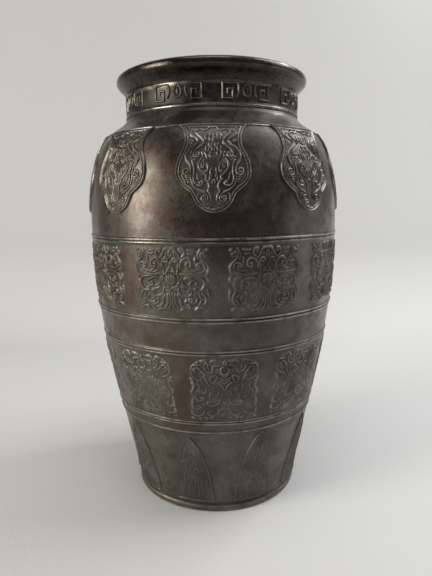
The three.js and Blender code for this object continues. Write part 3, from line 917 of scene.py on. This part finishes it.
upper_panel_half_width, upper_panel_height = 0.0236, 0.0386
panel_ground, panel_relief = 0.00015, 0.00080
panel_line, panel_fine_line, panel_bead_width = 0.0009, 0.00065, 0.0013
panel_edge, panel_step = 0.0013, 0.00042
flower_place, flower_width, flower_height = (0.0, 0.0), 0.0084, 0.0070
petal_radius, petal_count, petal_depth, petal_line = 0.0047, 9, 0.0007, 0.0008
vein_shares, vein_line = (-0.6, -0.2, 0.2, 0.6), 0.0006
upper_panel_beads = ((0.46, 0.50), (0.86, 0.80), (0.61, -0.13), (0.16, 0.56), (0.80, -0.78), (0.95, 0.92))
upper_panel_strokes = (
    ((0, 99), (12, 96), (19, 83), (25.3, 69)),
    ((25.3, 19), (38.7, 17.4), (50.7, 15.7), (69.3, 17.4), (81.3, 21), (87, 26)),
    ((3.3, -42), (3.3, -62), (4, -80), (10, -94)),
    ((10, -46), (9.5, -62), (11, -76), (18, -90)),
    ((62, -95), (70, -86), (80, -88), (90, -96)),
)
upper_panel_scrolls = (
    (((93, 17), (97.6, 36.5), (93, 50), (83, 63), (78.4, 73)), -1.25, 0.085),
    (((90, 36), (88, 47), (81, 53), (72, 50)), 1.0, 0.055),
    (((25.3, 66), (36.7, 78), (37.3, 90), (32, 95.7)), 1.0, 0.055),
    (((25.3, 36.5), (27, 54), (36, 66), (46, 66), (53.5, 57), (53, 46)), -1.0, 0.075),
    (((19, 36), (21.5, 50), (20, 62), (14.7, 66.5)), 1.05, 0.062),
    (((52, 10), (68, 10), (80, 6), (86.7, -5), (85.3, -21), (77.3, -33), (66, -35)), -0.9, 0.05),
    (((36, 2), (44, 7), (56, 3), (66, -7), (64, -17), (55, -20)), -1.0, 0.055),
    (((80, -36.5), (88, -48), (90, -62), (85.3, -74)), -1.0, 0.065),
    (((20, -28), (22.7, -41.7), (33.3, -50.4), (46, -50), (53, -42)), 1.0, 0.055),
    (((62, -46), (68, -58), (63, -70), (52, -72)), -1.1, 0.065),
    (((17.3, -48), (23.5, -62), (25, -76), (34, -86), (44, -88)), 0.9, 0.05),
)
upper_panel_fine_strokes = (
    ((79, 95), (72, 80), (74.7, 65)),
    ((64.5, 93), (54, 91), (44, 92)),
    ((62, 83), (54, 80), (45.3, 82)),
    ((66, 72), (64, 62), (66, 52)),
    ((0, 92), (4, 80), (0, 70)),
    ((10, 86), (11, 78)),
    ((20, 31), (17.3, 22.6), (20, 15.7)),
    ((4, 36.5), (10.7, 27)),
    ((0, 55), (0, 40)),
    ((42, 36), (54, 28), (70, 29), (80, 36)),
    ((36, 28), (48, 23.5), (60, 23.5)),
    ((73.3, -42), (76, -52), (80, -59)),
    ((26.7, 5), (29.3, -7), (36, -16), (47, -22)),
    ((30, -22), (42, -29), (52, -31), (62, -40)),
    ((95, -30), (97.5, -45), (96.5, -60)),
    ((0, -30), (7, -36), (12, -33)),
    ((42, -62), (36, -70), (42, -78)),
    ((74, -70), (70, -80)),
    ((22, -97), (30, -93), (38, -98)),
)
upper_panel_fine_scrolls = ((((93.3, 11), (97.5, 1), (93, -8)), -0.8, 0.035),)


def ring(relief, place, radius, scallops=0, depth=0.0, tallness=1.0):
    """A closed round or oval line, whose edge may be scalloped like petals."""
    turn = np.linspace(0, math.tau, 61)
    reach = radius + depth * np.abs(np.sin(scallops * turn / 2))
    return relief.spot(place) + reach[:, None] * np.stack([np.sin(turn), tallness * np.cos(turn)], 1)


def make_upper_panels():
    middle = (upper_belt_bottom + upper_belt_top) / 2
    relief = Relief(upper_panel_half_width, middle, upper_panel_height / 2, (-1.07, 1.07), panel_step)
    draw(relief, panel_line, panel_relief * 0.95, upper_panel_strokes, upper_panel_scrolls)
    draw(relief, panel_fine_line, panel_relief * 0.7, upper_panel_fine_strokes, upper_panel_fine_scrolls)
    petals = ring(relief, flower_place, petal_radius, petal_count, petal_depth)
    relief.line(petals, petal_line, panel_relief * 0.8)
    relief.dome(flower_place, flower_width, flower_height, panel_relief * 1.1)
    for share in vein_shares:
        vein = ((0.15 * share, 0.17), (0.16 * share, 0.02), (0.09 * share, -0.17))
        relief.line(relief.vine(vein), vein_line, panel_relief * 1.4)
    add_beads(relief, upper_panel_beads, panel_bead_width, panel_relief)
    relief.lay_ragged_ground(panel_ground, panel_edge)
    ornament_row(relief, "upper_panel", relief_bronze("panel_bronze", green=1.0, wear=0.45, gloss=0.46))


make_upper_panels()

# Lower belt panels
# Nine sprays of hooks and scrolls hung from a ring, pressed in a mould and laid on the lower belt.
# Handling has worn their lower half.

lower_panel_half_width, lower_panel_height = 0.0216, 0.0415
# The share of the lift that is left where the panel is worn, and where over its middle the wear ends
worn_share, worn_span = 0.45, (-0.006, 0.010)
# Each ring is its place, its radius and its line's width
lower_panel_rings = (((0.0, 0.64), 0.0027, 0.0010), ((0.0, 0.885), 0.0009, 0.0008))
lower_panel_beads = ((0.87, 0.66), (0.63, -0.08), (0.31, -0.33), (0.49, -0.44))
lower_panel_strokes = (
    ((66, 84), (78, 82), (92, 80), (97.5, 68), (96, 52), (86, 38), (72, 31), (61, 26)),
    ((60, 45), (54, 32), (46, 17), (36, 14)),
    ((40, 42), (33, 47), (22, 46), (26, 33), (35, 24), (41, 32), (40, 42)),
    ((24, 27), (15, 20), (7, 12), (3, 2), (0, 0)),
    ((95, 30), (90, 16), (93, 0), (98, -10)),
    ((58, -72), (62, -84), (76, -92), (92, -88), (96, -76)),
)
lower_panel_scrolls = (
    (((0, 82), (13, 83), (24, 80), (34.5, 80), (36, 66), (40, 58.5), (52, 62), (60, 74),
      (58.5, 86)), 0.9, 0.06),
    (((62, 44), (60, 53), (70, 66), (80, 74), (90, 70)), -1.1, 0.07),
    (((62, 22), (54, 12), (53, 0), (60, -12), (70, -12)), 1.0, 0.06),
    (((76, 20), (74, 6), (84, -10), (86, -26), (78, -38), (66, -36)), -1.0, 0.06),
    (((30, -4), (42, -14), (43, -30), (32, -40), (21, -34)), -1.0, 0.055),
    (((6, -12), (12, -32), (22, -50), (38, -56), (50, -50)), 1.1, 0.065),
    (((93, -34), (95, -52), (86, -66), (74, -66)), -1.0, 0.06),
    (((0, -64), (14, -70), (20, -84), (34, -92), (48, -86)), 0.9, 0.055),
)
lower_panel_fine_strokes = (
    ((10, 50), (0, 42)),
    ((17, 42), (8, 35), (0, 31)),
    ((16, 33), (8, 25), (0, 20)),
    ((78, 50), (86, 52), (84, 60)),
    ((50, 78), (46, 70)),
    ((70, 94), (60, 97), (52, 93)),
    ((20, 94), (32, 97), (42, 92)),
    ((20, 70), (22, 60)),
    ((62, -24), (56, -32)),
    ((16, -6), (20, -18), (15, -28)),
    ((0, -24), (3, -40), (0, -52)),
    ((58, -48), (66, -54)),
    ((0, -84), (8, -92), (18, -97)),
    ((34, -68), (42, -74), (50, -70)),
    ((44, 4), (36, 0), (28, 6)),
)


def scatter(relief, grid, ends, length, lean, width, lift, seed):
    """Short bent strokes on a loose grid of rows and columns, as a punch and graver leave them."""
    chance = np.random.default_rng(seed)
    rows, columns = grid
    low, high = ends
    for row in range(rows):
        for column in range(columns):
            up, across, bend, stretch = chance.uniform(-1, 1, 4)
            foot = low + (high - low) * (row + 0.4 * up) / rows
            out = (column + 0.35 * across + 0.1 * (row % 2)) / columns
            tip = foot + length * (1 + 0.4 * stretch)
            stroke = ((out, foot), (out + lean, (foot + tip) / 2), (out + lean * bend, tip))
            relief.line(relief.vine(stroke), width, lift)


def make_lower_panels():
    middle = (lower_belt_bottom + lower_belt_top) / 2
    relief = Relief(lower_panel_half_width, middle, lower_panel_height / 2, (-1.05, 1.05), panel_step)
    strokes = {"grid": (13, 8), "ends": (-0.98, 0.95), "length": 0.09, "lean": 0.06, "width": 0.0005}
    scatter(relief, **strokes, lift=panel_relief * 0.35, seed=3)
    draw(relief, panel_fine_line, panel_relief * 0.85, lower_panel_strokes, lower_panel_scrolls)
    draw(relief, panel_fine_line * 0.9, panel_relief * 0.7, lower_panel_fine_strokes)
    for place, radius, width in lower_panel_rings:
        relief.line(ring(relief, place, radius), width, panel_relief)
    add_beads(relief, lower_panel_beads, panel_bead_width, panel_relief)
    relief.raised *= worn_share + (1 - worn_share) * climb(relief.z - middle, *worn_span)
    relief.lay_ragged_ground(panel_ground, panel_edge)
    ornament_row(relief, "lower_panel", relief_bronze("worn_panel_bronze", green=0.45, wear=0.9, gloss=0.42))


make_lower_panels()

# Blades
# Nine upright pointed leaves above the foot, pressed and laid on like the lappets. A thin raised rim holds
# three pairs of curls on a granular ground.

blade_half_width, blade_length = 0.0136, 0.0535
blade_ground, blade_relief, blade_rim_lift = 0.0003, 0.0004, 0.0006
blade_rim, blade_rim_line, blade_curl_line = 0.0006, 0.0007, 0.0008
blade_field_edge = (0.0017, 0.0022)
blade_curl_turns, blade_curl_radius = -1.1, 0.13
blade_side_points = (
    (0, 100), (12, 96.5), (27, 91), (46, 82), (61, 72), (73, 60), (84, 46), (92, 31), (97, 16), (100, 0),
)
# Each curl is the height that it rises to and its reach outwards
blade_curls = ((0.62, 0.20), (0.50, 0.34), (0.36, 0.50))


def make_blades():
    relief = Relief(blade_half_width, stem_height, blade_length, (-0.02, 1.02), fine_step)
    inside = relief.inside(outline_of(relief, blade_side_points))
    relief.lay_ground(inside, blade_ground)
    strokes = {"grid": (15, 5), "ends": (0.03, 0.93), "length": 0.075, "lean": 0.05, "width": 0.00065}
    scatter(relief, **strokes, lift=blade_relief, seed=7)
    for up, out in blade_curls:
        stem = ((0.0, up - 0.10), (out * 0.5, up), (out, up + 0.02))
        curl = relief.vine(stem, blade_curl_turns, blade_curl_radius)
        relief.line(curl, blade_curl_line, blade_relief)
    relief.raised *= climb(inside, *blade_field_edge)
    relief.rim(inside, blade_rim, blade_rim_line, blade_rim_lift)
    ornament_row(relief, "blade", relief_bronze("blade_bronze", green=0.5, wear=0.25))


make_blades()

# Neck frets
# Nine pairs of square spirals, laid on the wax round the neck and cast with it.
# Each pair ends in arms that bend round an oval boss in a ring.

fret_half_width, fret_height, fret_middle, fret_step = 0.0162, 0.0104, 0.28065, 0.00032
fret_line, fret_relief, fret_ground, fret_edge = 0.0010, 0.0007, 0.00005, 0.0007
fret_spiral = ((38, 88), (95.5, 88), (95.5, -88), (57, -88), (57, 22), (76.5, 22), (76.5, -30))
fret_arm = ((38, 86), (33.5, 45), (32.5, 5), (36, -35), (43, -66))
oval_place, oval_radius, oval_tallness = (0.0, 0.05), 0.0024, 1.5
oval_boss_width, oval_boss_height = 0.0027, 0.0048


def neck_surface(height):
    return np.full(np.shape(height), neck_radius)


def make_frets():
    relief = Relief(fret_half_width, fret_middle, fret_height / 2, (-1.14, 1.14), fret_step)
    relief.line(relief.spot(np.divide(fret_spiral, 100)), fret_line, fret_relief)
    draw(relief, fret_line * 0.9, fret_relief * 0.95, [fret_arm])
    relief.line(ring(relief, oval_place, oval_radius, tallness=oval_tallness), fret_line, fret_relief)
    relief.dome(oval_place, oval_boss_width, oval_boss_height, fret_relief * 0.7)
    relief.lay_ragged_ground(fret_ground, fret_edge)
    ornament_row(relief, "fret", relief_bronze("fret_bronze", green=0.2), neck_surface)


make_frets()

# Base plate and its solder
# A disc let into the foot from below, and the run of solder in the corner under it.
# Both keep the shape that the frame gives them.

base_finishes = {
    "base_plate": ("plate_bronze", (0.085, 0.062, 0.046, 1), (0.12, 0.115, 0.10, 1)),
    "base_solder": ("solder", (0.20, 0.195, 0.185, 1), (0.26, 0.255, 0.25, 1)),
}
for node, (slot, brown, grey) in base_finishes.items():
    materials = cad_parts[node].data.materials
    materials.clear()
    materials.append(bronze(slot, (brown, brown, grey), gloss=0.48, wear=0.2, green=0.3))
